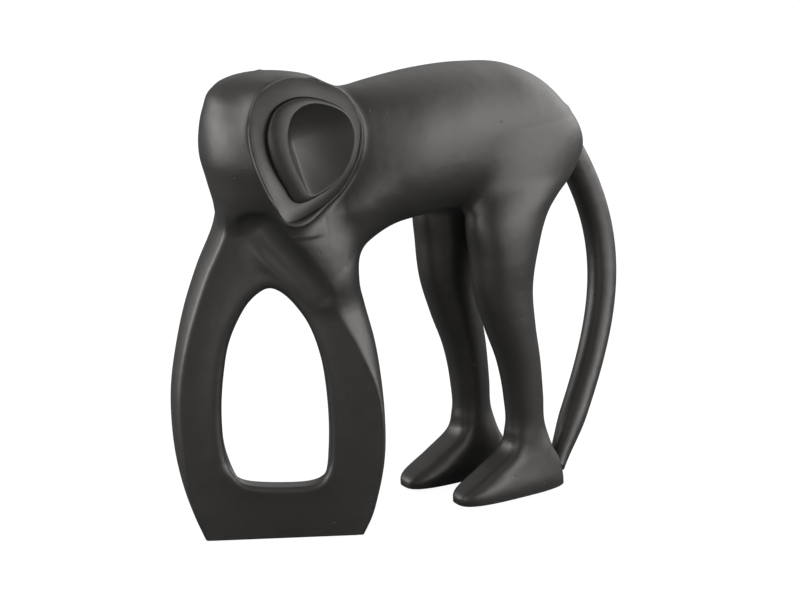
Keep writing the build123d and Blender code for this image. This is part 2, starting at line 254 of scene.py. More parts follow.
thigh_shares = [
    (1.00, 0.15, 0.24, 0.60, 0.80),
    (0.95, 0.05, 0.15, 0.78, 0.95),
    (0.86, -0.15, 0.07, 0.90, 1.00),
    (0.77, -0.71, 0.02, 0.94, 0.79),
    (0.675, -0.85, 0.00, 0.90, 0.625),
    (0.575, -0.85, 0.00, 0.79, 0.54),
    (0.47, -0.60, 0.00, 0.71, 0.46),
]
shank_shares = [
    (0.37, -0.28, 0.00, 1.10, 1.05),
    (0.266, -0.08, 0.00, 1.00, 0.96),
    (0.18, 0.00, 0.00, 0.97, 1.00),
]
foot_shares = [
    (0.12, 0.02, 0.00, 0.90, 0.43),
    (0.076, -0.22, 0.00, 0.95, 0.72),
    (0.030, -0.54, 0.00, 1.00, 0.98),
    (0.000, -0.54, 0.00, 0.98, 1.00),
]
loop_shares = [
    (0.00, 0.380, 0.370, 0.366, 0.379, 0.93),
    (0.06, 0.424, 0.409, 0.412, 0.422, 0.97),
    (0.12, 0.460, 0.438, 0.439, 0.448, 1.00),
    (0.225, 0.502, 0.467, 0.470, 0.478, 1.00),
    (0.34, 0.522, 0.483, 0.472, 0.482, 1.00),
    (0.45, 0.520, 0.481, 0.440, 0.468, 1.04),
    (0.56, 0.493, 0.455, 0.360, 0.440, 1.14),
    (0.675, 0.448, 0.405, 0.252, 0.391, 1.32),
    (0.79, 0.383, 0.340, 0.150, 0.352, 1.44),
    (0.90, 0.305, 0.262, 0.060, 0.460, 1.64),
    (1.00, 0.280, 0.230, 0.000, 0.500, 1.75),
]
opening_shares = [
    (-0.50, 0.388),
    (-0.48, 0.196),
    (-0.407, 0.081),
    (-0.266, 0.019),
    (0.109, 0.000),
    (0.371, 0.014),
    (0.475, 0.081),
    (0.500, 0.196),
    (0.490, 0.388),
    (0.440, 0.598),
    (0.335, 0.790),
    (0.180, 0.928),
    (0.034, 0.995),
    (-0.098, 0.995),
    (-0.262, 0.914),
    (-0.410, 0.751),
    (-0.473, 0.579),
]
teardrop_shares = [
    (-0.150, -0.500),
    (-0.295, -0.333),
    (-0.415, -0.130),
    (-0.480, 0.050),
    (-0.490, 0.220),
    (-0.420, 0.390),
    (-0.270, 0.480),
    (-0.080, 0.500),
    (0.150, 0.450),
    (0.360, 0.350),
    (0.470, 0.210),
    (0.500, 0.050),
    (0.450, -0.140),
    (0.330, -0.310),
    (0.130, -0.430),
]

# Box round each limb, from the torso's front end on the floor: its lowest and its highest corner
torso_box = ((-0.050, -0.010, 0.130), (0.060, 0.175, 0.250))
leg_box = ((-0.050, 0.040, -0.010), (0.060, 0.180, 0.215))
loop_box = ((-0.070, -0.100, -0.010), (0.060, 0.060, 0.200))
head_box = ((-0.070, -0.090, 0.140), (0.060, 0.050, 0.260))
face_box = ((-0.060, -0.080, 0.140), (0.040, 0.040, 0.260))
chest_box = ((-0.060, -0.080, 0.110), (0.040, 0.040, 0.190))
cheek_box = ((-0.060, -0.080, 0.120), (0.040, 0.040, 0.190))
tail_box = ((-0.030, 0.120, 0.160), (0.040, 0.190, 0.215))

# Directions of the loop and of the face
loop_side = np.array([cos(loop_turn), sin(loop_turn), 0])
loop_front = np.array([sin(loop_turn), -cos(loop_turn), 0])
face_normal = np.array([cos(head_turn), sin(head_turn), 0])
face_along = np.array([-sin(head_turn), cos(head_turn), 0])

# The torso's front end on the floor, found from the dowel between the hands
hand_low, hand_high = (np.array(corner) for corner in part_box("hand_pin"))
loop_place = (hand_low + hand_high) / 2 + loop_front * loop_depth / 2
origin = loop_place + np.array([-loop_sideways, loop_forward, 0])
origin[2] = 0
loop_place[2] = 0


def smooth_curve(stops, values, at):
    """Cubic pieces through values at stops, with the slope there of the parabola through the neighbours."""
    stops = np.asarray(stops, float)
    values = np.asarray(values, float)
    slopes = np.gradient(values, stops)
    index = np.clip(np.searchsorted(stops, at) - 1, 0, len(stops) - 2)
    width = stops[index + 1] - stops[index]
    t = np.clip((at - stops[index]) / width, 0, 1)
    start = values[index] * (2 * t**3 - 3 * t**2 + 1) + slopes[index] * width * (t**3 - 2 * t**2 + t)
    return start + values[index + 1] * (3 * t**2 - 2 * t**3) + slopes[index + 1] * width * (t**3 - t**2)


def stations(table, at):
    """Each column of a table of stations, at places along the limb."""
    rows = np.array(sorted(table))
    return [smooth_curve(rows[:, 0], column, at) for column in rows[:, 1:].T]


def closed_curve(points, count):
    """Points on a closed cubic curve through the given points, as many between each two."""
    points = np.asarray(points, float)
    wrapped = np.concatenate([points, points, points])
    stops = np.arange(len(wrapped))
    at = len(points) + np.arange(count) * len(points) / count
    return np.stack([smooth_curve(stops, wrapped[:, axis], at) for axis in range(2)], -1)


def smooth_least(a, b, ease):
    """Least of two distances, lowered by (ease - |a - b|)^2 / (4 ease) where they differ by less."""
    near = np.maximum(ease - np.abs(a - b), 0)
    return np.minimum(a, b) - near * near / (4 * ease)


def smooth_most(a, b, ease):
    """Greatest of two distances, raised where they are close."""
    return -smooth_least(-a, -b, ease)


def distance(form):
    """A form's value over the steepness of that value: near its zero surface, the distance to it."""
    slopes = np.gradient(form, step)
    steepness = np.sqrt(sum(slope * slope for slope in slopes))
    return form / np.maximum(steepness, 1)


def smooth_step(value, low, high):
    """Nought at low, one at high and smooth between."""
    t = np.clip((value - low) / (high - low), 0, 1)
    return t * t * (3 - 2 * t)


class Lattice:
    """Points of an evenly spaced box, held as three arrays that broadcast against each other."""

    def __init__(self, low, high):
        self.low = np.asarray(low, float)
        counts = np.ceil((np.asarray(high) - self.low) / step).astype(int) + 1
        self.axes = [self.low[axis] + step * np.arange(counts[axis]) for axis in range(3)]
        self.field = np.full(counts, 1.0, np.float32)

    def window(self, low, high):
        """Slices and coordinate arrays, from the torso's front end, of the part between two such corners."""
        slices = []
        for axis in range(3):
            first = np.searchsorted(self.axes[axis], origin[axis] + low[axis])
            last = np.searchsorted(self.axes[axis], origin[axis] + high[axis])
            slices.append(slice(first, last))
        shapes = ((-1, 1, 1), (1, -1, 1), (1, 1, -1))
        places = [
            (self.axes[axis][slices[axis]] - origin[axis]).reshape(shapes[axis]).astype(np.float32)
            for axis in range(3)
        ]
        return tuple(slices), places

    def join(self, limb, low, high, ease):
        """Adds a limb, whose function takes the three coordinate arrays and gives distances.

        The ease is a function of the same arrays, or a length.
        """
        slices, places = self.window(low, high)
        softness = ease(*places) if callable(ease) else ease
        self.field[slices] = smooth_least(self.field[slices], limb(*places).astype(np.float32), softness)

    def cut(self, limb, low, high, ease):
        """Takes a limb's shape away."""
        slices, places = self.window(low, high)
        softness = ease(*places) if callable(ease) else ease
        self.field[slices] = smooth_most(self.field[slices], -limb(*places).astype(np.float32), softness)


def oval(across, up, power):
    """(|a|^p + |b|^p)^(1/p) - 1, which is zero on a squared oval of half sizes one."""
    return (np.abs(across) ** power + np.abs(up) ** power) ** (1 / power) - 1


def torso(x, y, z):
    """Oval sections across Y whose middle, width and height follow the stations, with a rounded rear end."""
    along = y / torso_length
    rise, wide, high = stations(torso_shares, along)
    across = (x - hips_sideways * along) / (wide * torso_width / 2)
    up = (z - torso_axis_height - rise * torso_height) / (high * torso_height / 2)
    skin = distance(oval(across, up, torso_power).astype(np.float32))
    return smooth_most(skin, np.maximum(-y, y - torso_length), rump_round)


def head(x, y, z):
    """Level oval sections, turned, whose middle and half sizes follow the stations."""
    up = (z - head_bottom) / head_height
    ahead, aside, wide, long = stations(head_shares, up)
    dx = x - head_sideways - aside * head_width
    dy = y + head_forward - ahead * head_length
    across = (dx * cos(head_turn) + dy * sin(head_turn)) / (wide * head_width / 2)
    along = (dy * cos(head_turn) - dx * sin(head_turn)) / (long * head_length / 2)
    skin = distance(oval(across, along, head_power).astype(np.float32))
    skin = smooth_most(skin, head_bottom - z, head_bottom_round)
    return smooth_most(skin, z - head_bottom - head_height, head_top_round)


def face_coordinates(x, y, z):
    """Places along the face, up it and out of it."""
    dx = x - head_sideways
    dy = y + head_forward
    out = dx * face_normal[0] + dy * face_normal[1] - face_out
    along = dx * face_along[0] + dy * face_along[1] - face_shift
    return along, z - face_middle_height, out


def gauge(outline, across, up):
    """How many times as far from the middle a place lies as the outline does in that direction."""
    curve = closed_curve(outline, 720)
    angles = np.arctan2(curve[:, 1], curve[:, 0])
    radii = np.hypot(curve[:, 0], curve[:, 1])
    order = np.argsort(angles)
    reach = np.interp(np.arctan2(up, across), angles[order], radii[order], period=2 * pi)
    return np.hypot(across, up) / reach


def face_mount(x, y, z):
    """Swelling under the face: a teardrop that narrows from inside the head to the face's outline."""
    along, up, out = face_coordinates(x, y, z)
    inward = np.clip(-out / face_out, 0, 1)
    width = face_width + 2 * mount_lip + 2 * mount_spread_across * inward
    height = face_height + 2 * mount_lip + 2 * mount_spread_up * inward
    across = (along - mount_aside * inward) / width
    form = gauge(teardrop_shares, across, (up - mount_up * inward) / height) - 1
    skin = distance(form.astype(np.float32))
    return np.maximum(skin, np.maximum(out, -out - face_out))


def face_recess(x, y, z):
    """Teardrop pocket that the face sits in, open outwards."""
    along, up, out = face_coordinates(x, y, z)
    inset = 2 * recess_slant * np.clip(-out, 0, face_thickness)
    form = gauge(teardrop_shares, along / (face_width - inset), up / (face_height - inset)) - 1
    skin = distance(form.astype(np.float32))
    return np.maximum(skin, -out - face_thickness)


def recess_ease(x, y, z):
    """How round the pocket's edge is: broadly to the left, and tightly to the right."""
    along, up, out = face_coordinates(x, y, z)
    start, end = recess_round_span
    left = smooth_step(along + up * 0, start * face_width, end * face_width)
    return recess_round_right + (recess_round_left - recess_round_right) * left


def leg(x, y, z, ankle):
    """Level sections from hip to sole whose middle, half sizes, turn and squareness follow the stations."""
    parts = (
        (thigh_shares, thigh_width, thigh_depth, 0, leg_power),
        (shank_shares, shank_width, shank_depth, 0, leg_power),
        (foot_shares, foot_width, foot_length, foot_turn, foot_power),
    )
    rows = []
    for table, width, depth, turn, power in parts:
        for up, sway, lean, wide, deep in table:
            inward = lean * leg_spacing * np.sign(hips_sideways - ankle[0])
            middle = (ankle[0] + inward, ankle[1] + sway * leg_sway)
            rows.append((up * hip_height, *middle, wide * width / 2, deep * depth / 2, turn, power))
    middle_x, middle_y, half_width, half_depth, turn, power = stations(rows, z)
    dx = x - middle_x
    dy = y - middle_y
    across = (dx * np.cos(turn) + dy * np.sin(turn)) / half_width
    along = (dy * np.cos(turn) - dx * np.sin(turn)) / half_depth
    skin = distance(oval(across, along, power).astype(np.float32))
    return np.maximum(skin, z - hip_height)


def left_leg(x, y, z):
    return leg(x, y, z, (hips_sideways + leg_spacing / 2, ankle_back))


def right_leg(x, y, z):
    return leg(x, y, z, (hips_sideways - leg_spacing / 2, ankle_back - right_leg_lead))


def loop_coordinates(x, y):
    """Places along the loop and out of its front."""
    dx = x - loop_sideways
    dy = y + loop_forward
    along = dx * loop_side[0] + dy * loop_side[1]
    out = dx * loop_front[0] + dy * loop_front[1]
    return along, out


def opening(along, z):
    """Distance to the window's edge in the plane of the loop."""
    outline = [(across, up - opening_middle) for across, up in opening_shares]
    across = (along - opening_sideways) / opening_width
    up = (z - bar_height) / opening_height - opening_middle
    return distance((gauge(outline, across, up) - 1).astype(np.float32))


def loop(x, y, z):
    """Level sections: a dished front between two creases, an oval behind through both, and a window.

    Left and right values pass into each other over the loop's middle. The oval's rear comes as a distance of
    its own, a little deeper, because only there is the window's edge broadly rounded.
    """
    along, out = loop_coordinates(x, y)
    left, crease_left, crease_right, right, deep = stations(loop_shares, z / loop_height)
    half_depth = deep * loop_depth / 2
    to_right = smooth_step(along, -loop_mix, loop_mix)
    side = (left + (right - left) * to_right) * loop_width
    crease = (crease_left + (crease_right - crease_left) * to_right) * loop_width
    front_reach = half_depth / (1 - (crease / side) ** loop_power) ** (1 / loop_power)
    behind = out + half_depth
    skin = oval(along / side, behind / np.where(behind > 0, front_reach, half_depth), loop_power)
    rear = -behind - half_depth * (1 - np.minimum(np.abs(along / side), 1) ** loop_power) ** (1 / loop_power)
    gap = opening(along + 0 * out, z)
    edge = np.maximum(crease - np.abs(along), 0)
    inner = np.maximum(gap, 0)
    across_share = inner / np.maximum(inner + edge, step)
    dish = 4 * front_dish * across_share * (1 - across_share)
    bar = smooth_step(z, bar_height + bar_blend_high, bar_height + bar_blend_low)
    round_front = opening_round_left + (opening_round_right - opening_round_left) * to_right
    round_front = round_front + (bar_round_front - round_front) * bar
    round_rear = opening_round_rear + (bar_round_rear - opening_round_rear) * bar
    rear = distance(rear.astype(np.float32)) - rear_margin
    back = np.maximum(distance(skin.astype(np.float32)), smooth_most(rear, -gap, round_rear))
    front = smooth_most(out + dish, -gap, round_front)
    edge_ease = crease_round * smooth_step(gap, crease_fade_start, crease_fade_end) + sharp_ease
    both = smooth_most(back, front, edge_ease)
    return smooth_most(both, z - loop_height, loop_top_round)


def loop_ease(x, y, z):
    """How softly the loop meets the trunk: tightly at its lower front and softly elsewhere."""
    along, out = loop_coordinates(x, y)
    front = smooth_step(out, *front_ease_out) * smooth_step(z, *front_ease_up)
    return shoulder_ease + (front_ease - shoulder_ease) * front


def rounded_cone(x, y, z, start, end):
    """Distance to the hull of two balls: places along the loop, out of it and up, and radii."""
    along, out = loop_coordinates(x, y)
    first = np.array(start)
    way = np.array(end) - first
    length = way[0] ** 2 + way[1] ** 2 + way[2] ** 2
    share = ((along - first[0]) * way[0] + (out - first[1]) * way[1] + (z - first[2]) * way[2]) / length
    share = np.clip(share, 0, 1)
    gaps = [place - first[axis] - way[axis] * share for axis, place in enumerate((along, out, z))]
    return np.sqrt(gaps[0] ** 2 + gaps[1] ** 2 + gaps[2] ** 2) - first[3] - way[3] * share


def chest(x, y, z):
    """Swelling from the face's point down to the loop's front."""
    return rounded_cone(x, y, z, chest_top, chest_end)


def cheek_hollow(x, y, z):
    """Hollow under the cheek, whose near side leaves the chest's edge."""
    return rounded_cone(x, y, z, cheek_top, cheek_end)


def tail_point(share):
    """Straight line from rump to heel, bowed out behind by a skewed half wave."""
    bow = tail_bow * np.sin(pi * share**tail_bow_power)
    return np.stack([
        tail_heel_sideways * share**tail_side_power,
        tail_root_back + (tail_heel_back - tail_root_back) * share + bow,
        tail_root_height + (tail_heel_height - tail_root_height) * share,
    ], -1)


def tail_root(x, y, z):
    """The tail's first stretch, a little thinner than the tail so that it stays inside it."""
    share = np.clip((tail_root_height - z) / (tail_root_height - tail_heel_height), 0, 1)
    middle = tail_point(share)
    form = np.hypot(x - middle[..., 0], y - middle[..., 1]) / (tail_stub_share * tail_root_diameter) - 1
    ends = np.maximum(z - tail_root_height, tail_root_height - tail_stub_length - z)
    return np.maximum(distance(form.astype(np.float32)), ends)


def whole_figure():
    """Field of the whole figure, without face and tail. Its lowest layer is outside, so that soles close."""
    low = np.array(cad_box[0]) - lattice_margin
    high = np.array(cad_box[1]) + lattice_margin
    lattice = Lattice(low, high)
    lattice.join(torso, *torso_box, hip_ease)
    for limb in (left_leg, right_leg):
        lattice.join(limb, *leg_box, hip_ease)
    lattice.join(loop, *loop_box, loop_ease)
    lattice.join(head, *head_box, neck_ease)
    lattice.join(face_mount, *face_box, mount_ease)
    lattice.join(chest, *chest_box, chest_ease)
    lattice.cut(cheek_hollow, *cheek_box, cheek_ease)
    lattice.cut(face_recess, *face_box, recess_ease)
    lattice.join(tail_root, *tail_box, tail_ease)
    lattice.field[:, :, 0] = step
    return lattice


def net(lattice):
    """Net over a field's zero surface.

    Each lattice cell that the surface passes has one point, at the mean of the places where the surface
    crosses the cell's edges. Each lattice edge that crosses the surface has one face, between the points of
    the four cells round it, turned outwards.
    """
    field = lattice.field
    counts = np.array(field.shape)
    strides = np.array([counts[1] * counts[2], counts[2], 1])
    cells = []
    crossings = []
    corners = []
    for axis in range(3):
        first = np.take(field, range(counts[axis] - 1), axis)
        second = np.take(field, range(1, counts[axis]), axis)
        starts = np.argwhere((first < 0) != (second < 0))
        before = first[tuple(starts.T)].astype(float)
        after = second[tuple(starts.T)].astype(float)
        place = starts.astype(float)
        place[:, axis] += before / (before - after)
        flat = starts @ strides
        one, two = (strides[other % 3] for other in (axis + 1, axis + 2))
        around = np.stack([flat - one - two, flat - two, flat, flat - one], -1)
        around[before > 0] = around[before > 0, ::-1]
        corners.append(around)
        cells.append(around.ravel())
        crossings.append(np.repeat(place, 4, axis=0))
    cells = np.concatenate(cells)
    crossings = np.concatenate(crossings)
    used, index = np.unique(cells, return_inverse=True)
    tally = np.bincount(index)
    points = np.stack([np.bincount(index, crossings[:, axis]) / tally for axis in range(3)], -1)
    faces = np.searchsorted(used, np.concatenate(corners))
    return lattice.low + step * points, faces


def sample(lattice, values, points):
    """Values between lattice points, weighted by nearness in each direction."""
    place = np.clip((points - lattice.low) / step, 0, np.array(values.shape) - 1.001)
    base = place.astype(int)
    part = place - base
    total = np.zeros(len(points))
    for corner in np.ndindex(2, 2, 2):
        weight = np.prod(np.where(corner, part, 1 - part), axis=1)
        total += weight * values[tuple((base + corner).T)]
    return total


def main_skin():
    """The figure's net, each point shifted down the field's slope onto its zero surface."""
    lattice = whole_figure()
    points, faces = net(lattice)
    slopes = np.gradient(lattice.field, step)
    for _ in range(2):
        slope = np.stack([sample(lattice, part, points) for part in slopes], -1)
        value = sample(lattice, lattice.field, points)
        shift = value / np.maximum((slope**2).sum(1), 0.25)
        points = points - np.clip(shift, -step / 4, step / 4)[:, None] * slope
    return lattice, slopes, points, faces


def mesh_object(name, points, *faces):
    """Mesh from points and arrays of faces, each array with its own number of corners."""
    mesh = bpy.data.meshes.new(name)
    sides = np.concatenate([np.full(len(part), part.shape[1]) for part in faces])
    corners = np.concatenate([part.ravel() for part in faces])
    mesh.vertices.add(len(points))
    mesh.vertices.foreach_set("co", np.asarray(points, np.float32).ravel())
    mesh.loops.add(len(corners))
    mesh.loops.foreach_set("vertex_index", corners.astype(np.int32))
    mesh.polygons.add(len(sides))
    mesh.polygons.foreach_set("loop_start", (np.cumsum(sides) - sides).astype(np.int32))
    mesh.polygons.foreach_set("use_smooth", np.full(len(sides), True))
    mesh.update(calc_edges=True)
    piece = bpy.data.objects.new(name, mesh)
    bpy.context.scene.collection.objects.link(piece)
    return piece


def turn_outwards(piece):
    """Makes a closed mesh's faces point outwards."""
    work = bmesh.new()
    work.from_mesh(piece.data)
    bmesh.ops.recalc_face_normals(work, faces=work.faces[:])
    work.to_mesh(piece.data)
    work.free()


def quads(rows, columns, closed):
    """Faces between the rows of a grid. Each row is a ring, and the last row joins the first where closed."""
    row = np.arange(rows if closed else rows - 1)[:, None]
    column = np.arange(columns)[None, :]
    across = (column + 1) % columns
    up = (row + 1) % rows
    corners = (row * columns + column, row * columns + across, up * columns + across, up * columns + column)
    return np.stack(corners, -1).reshape(-1, 4)


def fan(pole, first, columns):
    """Triangles from a pole to the ring of points that starts at the given one."""
    column = np.arange(columns)
    corners = (np.full(columns, pole), first + column, first + (column + 1) % columns)
    return np.stack(corners, -1)


def ring_surface(name, rings):
    """Closed surface like a ring's: a grid of points closed both ways."""
    rows, columns, _ = rings.shape
    piece = mesh_object(name, rings.reshape(-1, 3), quads(rows, columns, True))
    turn_outwards(piece)
    return piece


def ball_surface(name, rings, start, end):
    """Closed surface like a ball's: rings of points between two poles."""
    rows, columns, _ = rings.shape
    points = np.concatenate([rings.reshape(-1, 3), [start, end]])
    caps = (fan(rows * columns, 0, columns), fan(rows * columns + 1, (rows - 1) * columns, columns))
    piece = mesh_object(name, points, quads(rows, columns, False), np.concatenate(caps))
    turn_outwards(piece)
    return piece


# Joint planes: a point on each and its normal
neck_plane = (loop_place + loop_side * neck_place, loop_side)
hand_plane = (loop_place, loop_side)
shoulder_plane = (np.array([0, 0, shoulder_height]), np.array([0, 0, 1.0]))
hip_plane = (np.array([0, 0, hip_saw_height]), np.array([0, 0, 1.0]))
rear_plane = (origin + np.array([0, arms_rear, 0]), np.array([0, 1.0, 0]))
middle_plane = (origin + np.array([hips_sideways, 0, 0]), np.array([1.0, 0, 0]))
sole_plane = (np.array([0, 0, sole_height]), np.array([0, 0, 1.0]))


def on_plane(edge, place, normal):
    """Whether both ends of an edge lie on a plane."""
    return all(abs((np.array(corner.co) - place) @ normal) < sharp_ease for corner in edge.verts)


def cut_along(work, plane, side):
    """Cuts a closed skin along a plane, keeps the given side (both at side zero) and closes it."""
    place, normal = plane
    everything = work.verts[:] + work.edges[:] + work.faces[:]
    bmesh.ops.bisect_plane(
        work,
        geom=everything,
        dist=step / 1000,
        plane_co=Vector(place),
        plane_no=Vector(normal * (side or 1)),
        clear_inner=side != 0,
    )
    if side:
        close_along(work, plane)


def close_along(work, plane):
    """Closes the holes on a plane with flat faces."""
    place, normal = plane
    rim = [edge for edge in work.edges if edge.is_boundary and on_plane(edge, place, normal)]
    if rim:
        filled = bmesh.ops.holes_fill(work, edges=rim, sides=0)
        for face in filled["faces"]:
            face.smooth = False


def cut_piece(name, cuts):
    """The part of the skin on the given side of each plane, closed along the planes.

    The skin's corners take their shading direction from the field, so that neighbours meet without a seam.
    """
    (place, normal), side = cuts[0]
    kept = (((points - place) @ normal)[faces] * side > 0).any(axis=1)
    used, index = np.unique(faces[kept], return_inverse=True)
    piece = mesh_object(name, points[used], index.reshape(-1, 4))
    work = bmesh.new()
    work.from_mesh(piece.data)
    for plane, side in cuts:
        if side:
            cut_along(work, plane, side)
        else:
            drop_arms(work)
    bmesh.ops.recalc_face_normals(work, faces=work.faces[:])
    if work.calc_volume(signed=True) < 0:
        bmesh.ops.reverse_faces(work, faces=work.faces[:])
    work.to_mesh(piece.data)
    work.free()
    shade_from_field(piece)
    return piece


def drop_arms(work):
    """Takes off what hangs below the shoulder plane in front of the legs."""
    cut_along(work, shoulder_plane, 0)
    below = []
    for face in work.faces:
        middle = face.calc_center_median()
        if middle.z < shoulder_height and middle.y < rear_plane[0][1]:
            below.append(face)
    bmesh.ops.delete(work, geom=below, context="FACES")
    close_along(work, shoulder_plane)


def shade_from_field(piece):
    """Gives smooth faces the field's slope as their shading direction, and flat faces their own."""
    mesh = piece.data
    places = np.empty(len(mesh.vertices) * 3, np.float32)
    mesh.vertices.foreach_get("co", places)
    places = places.reshape(-1, 3)
    outward = np.stack([sample(lattice, part, places) for part in slopes], -1)
    outward /= np.linalg.norm(outward, axis=1)[:, None]
    corner_vertex = np.empty(len(mesh.loops), np.int32)
    mesh.loops.foreach_get("vertex_index", corner_vertex)
    sides = np.empty(len(mesh.polygons), np.int32)
    mesh.polygons.foreach_get("loop_total", sides)
    smooth = np.empty(len(mesh.polygons), bool)
    mesh.polygons.foreach_get("use_smooth", smooth)
    facing = np.empty(len(mesh.polygons) * 3, np.float32)
    mesh.polygons.foreach_get("normal", facing)
    corner_face = np.repeat(np.arange(len(sides)), sides)
    directions = outward[corner_vertex]
    hard = ~smooth[corner_face]
    directions[hard] = facing.reshape(-1, 3)[corner_face[hard]]
    mesh.normals_split_custom_set(directions)


def face_curve(width, height, aside, up, count):
    """Teardrop outline on the face: places along it and up it, from the teardrop's point."""
    curve = closed_curve(teardrop_shares, count)
    return curve * np.array([width, height]) + np.array([aside, up])


def face_point(place, out):
    """From places along and up the face, and heights out of it, to space."""
    middle = origin + np.array([head_sideways, -head_forward, face_middle_height])
    place = np.asarray(place)
    out = np.asarray(out)[..., None]
    along = face_along * (place[..., :1] + face_shift)
    return middle + along + face_normal * (out + face_out) + np.array([0, 0, 1.0]) * place[..., 1:]


# Outlines on the face, all from the same points of the teardrop
face_columns = 360
rim_aside = (collar_left - collar_right) / 2
rim_up = (collar_bottom - collar_top) / 2
rim_width = face_width - collar_left - collar_right
rim_height = face_height - collar_top - collar_bottom
hollow_aside = rim_aside + (band_left - band_right) / 2
hollow_up = rim_up + (band_bottom - band_top) / 2
hollow_width = rim_width - band_left - band_right
hollow_height = rim_height - band_top - band_bottom
edge_curve = face_curve(face_width, face_height, 0, 0, face_columns)
rim_curve = face_curve(rim_width, rim_height, rim_aside, rim_up, face_columns)
hollow_curve = face_curve(hollow_width, hollow_height, hollow_aside, hollow_up, face_columns)


def round_face(values):
    """Values at the left, top, right and bottom of the face, blended by the direction from the middle."""
    aside = rim_curve[:, 0] - rim_aside
    up = rim_curve[:, 1] - rim_up
    reach = np.hypot(aside, up)
    weights = np.stack([-aside, up, aside, -up]).clip(0) / reach
    weights = weights**2
    return (weights * np.array(values)[:, None]).sum(0)


def face_ring():
    """Ring round the rim: up the outer wall, over a rounded edge, down the dished collar, and back inside."""
    drop = round_face(collar_edge_drop)
    dish = round_face(collar_foot_drop) - drop
    inward = rim_curve - edge_curve
    width = np.hypot(*inward.T)[:, None]
    inward = inward / width
    outer = edge_curve - inward * ring_overlap
    rows = [face_point(outer, np.full(face_columns, -face_thickness))]
    for turn in np.linspace(0, pi / 2, 3):
        place = outer + inward * collar_edge_round * (1 - cos(turn))
        rows.append(face_point(place, -drop + collar_edge_round * (sin(turn) - 1)))
    for share in np.linspace(0.06, 1, collar_rows):
        reach = collar_edge_round + (width + ring_overlap - collar_edge_round) * share
        rows.append(face_point(outer + inward * reach, -drop - dish * (1 - (1 - share) ** collar_curve)))
    tucked = rim_curve + inward * groove_tuck
    rows.append(face_point(tucked, -drop - dish - groove_depth))
    rows.append(face_point(tucked, np.full(face_columns, -face_thickness)))
    return ring_surface("face_collar", np.array(rows))


def face_bowl():
    """Bowl inside the ring: up its wall, over the band to the crest, and down to the deepest place."""
    middle = np.array([rim_aside, rim_up])
    wall = rim_curve - (rim_curve - middle) * rim_gap
    wall_top = round_face(rim_wall_rise)
    rows = []
    for share in (0.35, 0.7, 1.0):
        rows.append(face_point(middle + (wall - middle) * share, np.full(face_columns, -face_thickness)))
    rows.append(face_point(wall, wall_top - groove_depth))
    for share in np.linspace(0.0, 1, 14):
        place = wall + (hollow_curve - wall) * share
        rise = wall_top - rim_round + (rim_rise + rim_round - wall_top) * np.sin(share**rim_skew * pi / 2)
        rows.append(face_point(place, rise))
    deep = np.array(hollow_place)
    for share in np.linspace(0.985, 0.03, hollow_rows):
        place = deep + (hollow_curve - deep) * share
        rise = rim_rise - hollow_depth * (1 - share**hollow_curve_power)
        rows.append(face_point(place, np.full(face_columns, rise)))
    start = face_point(middle, -face_thickness)
    end = face_point(deep, rim_rise - hollow_depth)
    return ball_surface("face_hollow", np.array(rows), start, end)


def tail():
    """Round section along the tail's path, thinner at the heel, ridged where the mould parted."""
    rows = 160
    columns = 48
    share = np.linspace(tail_share_first, tail_share_last, rows)
    path = tail_point(share)
    forward = np.gradient(path, axis=0)
    forward /= np.linalg.norm(forward, axis=1)[:, None]
    aside = np.cross(forward, [0, 1.0, 0])
    aside /= np.linalg.norm(aside, axis=1)[:, None]
    outward = np.cross(forward, aside)
    turn = np.arange(columns) * 2 * pi / columns
    radius = (tail_root_diameter + (tail_tip_diameter - tail_root_diameter) * share)[:, None] / 2
    radius = radius * (1 - tail_taper * smooth_step(share, tail_taper_start, 1.0))[:, None]
    nearness = np.maximum(np.abs(np.cos(turn)) - (1 - tail_ridge_span), 0) / tail_ridge_span
    ridge = 1 + tail_ridge * nearness
    reach = radius * ridge[None, :]
    rings = path[:, None] + reach[..., None] * (
        np.cos(turn)[None, :, None] * aside[:, None] + np.sin(turn)[None, :, None] * outward[:, None]
    )
    return ball_surface("tail_rod", origin + rings, origin + path[0], origin + path[-1])


def dress(piece, slot, *nodes):
    """Lets a piece ride on the figure's one body, in place of its nodes. The slot is not used."""
    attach(piece, "root")
    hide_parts(*nodes)


lattice, slopes, points, faces = main_skin()
castings = {
    "left_arm": ((rear_plane, -1), (shoulder_plane, -1), (hand_plane, 1), (sole_plane, 1)),
    "right_arm": ((rear_plane, -1), (shoulder_plane, -1), (hand_plane, -1), (sole_plane, 1)),
    "left_hind_leg": ((hip_plane, -1), (rear_plane, 1), (middle_plane, 1), (sole_plane, 1)),
    "right_hind_leg": ((hip_plane, -1), (rear_plane, 1), (middle_plane, -1), (sole_plane, 1)),
    "head": ((shoulder_plane, 1), (neck_plane, -1)),
    "torso": ((hip_plane, 1), (shoulder_plane, 0), (neck_plane, 1)),
}
for node, cuts in castings.items():
    dress(cut_piece(node + "_skin", cuts), "black_casting", node)
dress(face_ring(), "face_casting", "face_ring")
dress(face_bowl(), "face_casting", "face_bowl")
dress(tail(), "tail_rod", "tail")
for name in ("face_collar", "face_hollow"):
    bpy.data.objects[name].data.set_sharp_from_angle(angle=face_crease_angle)


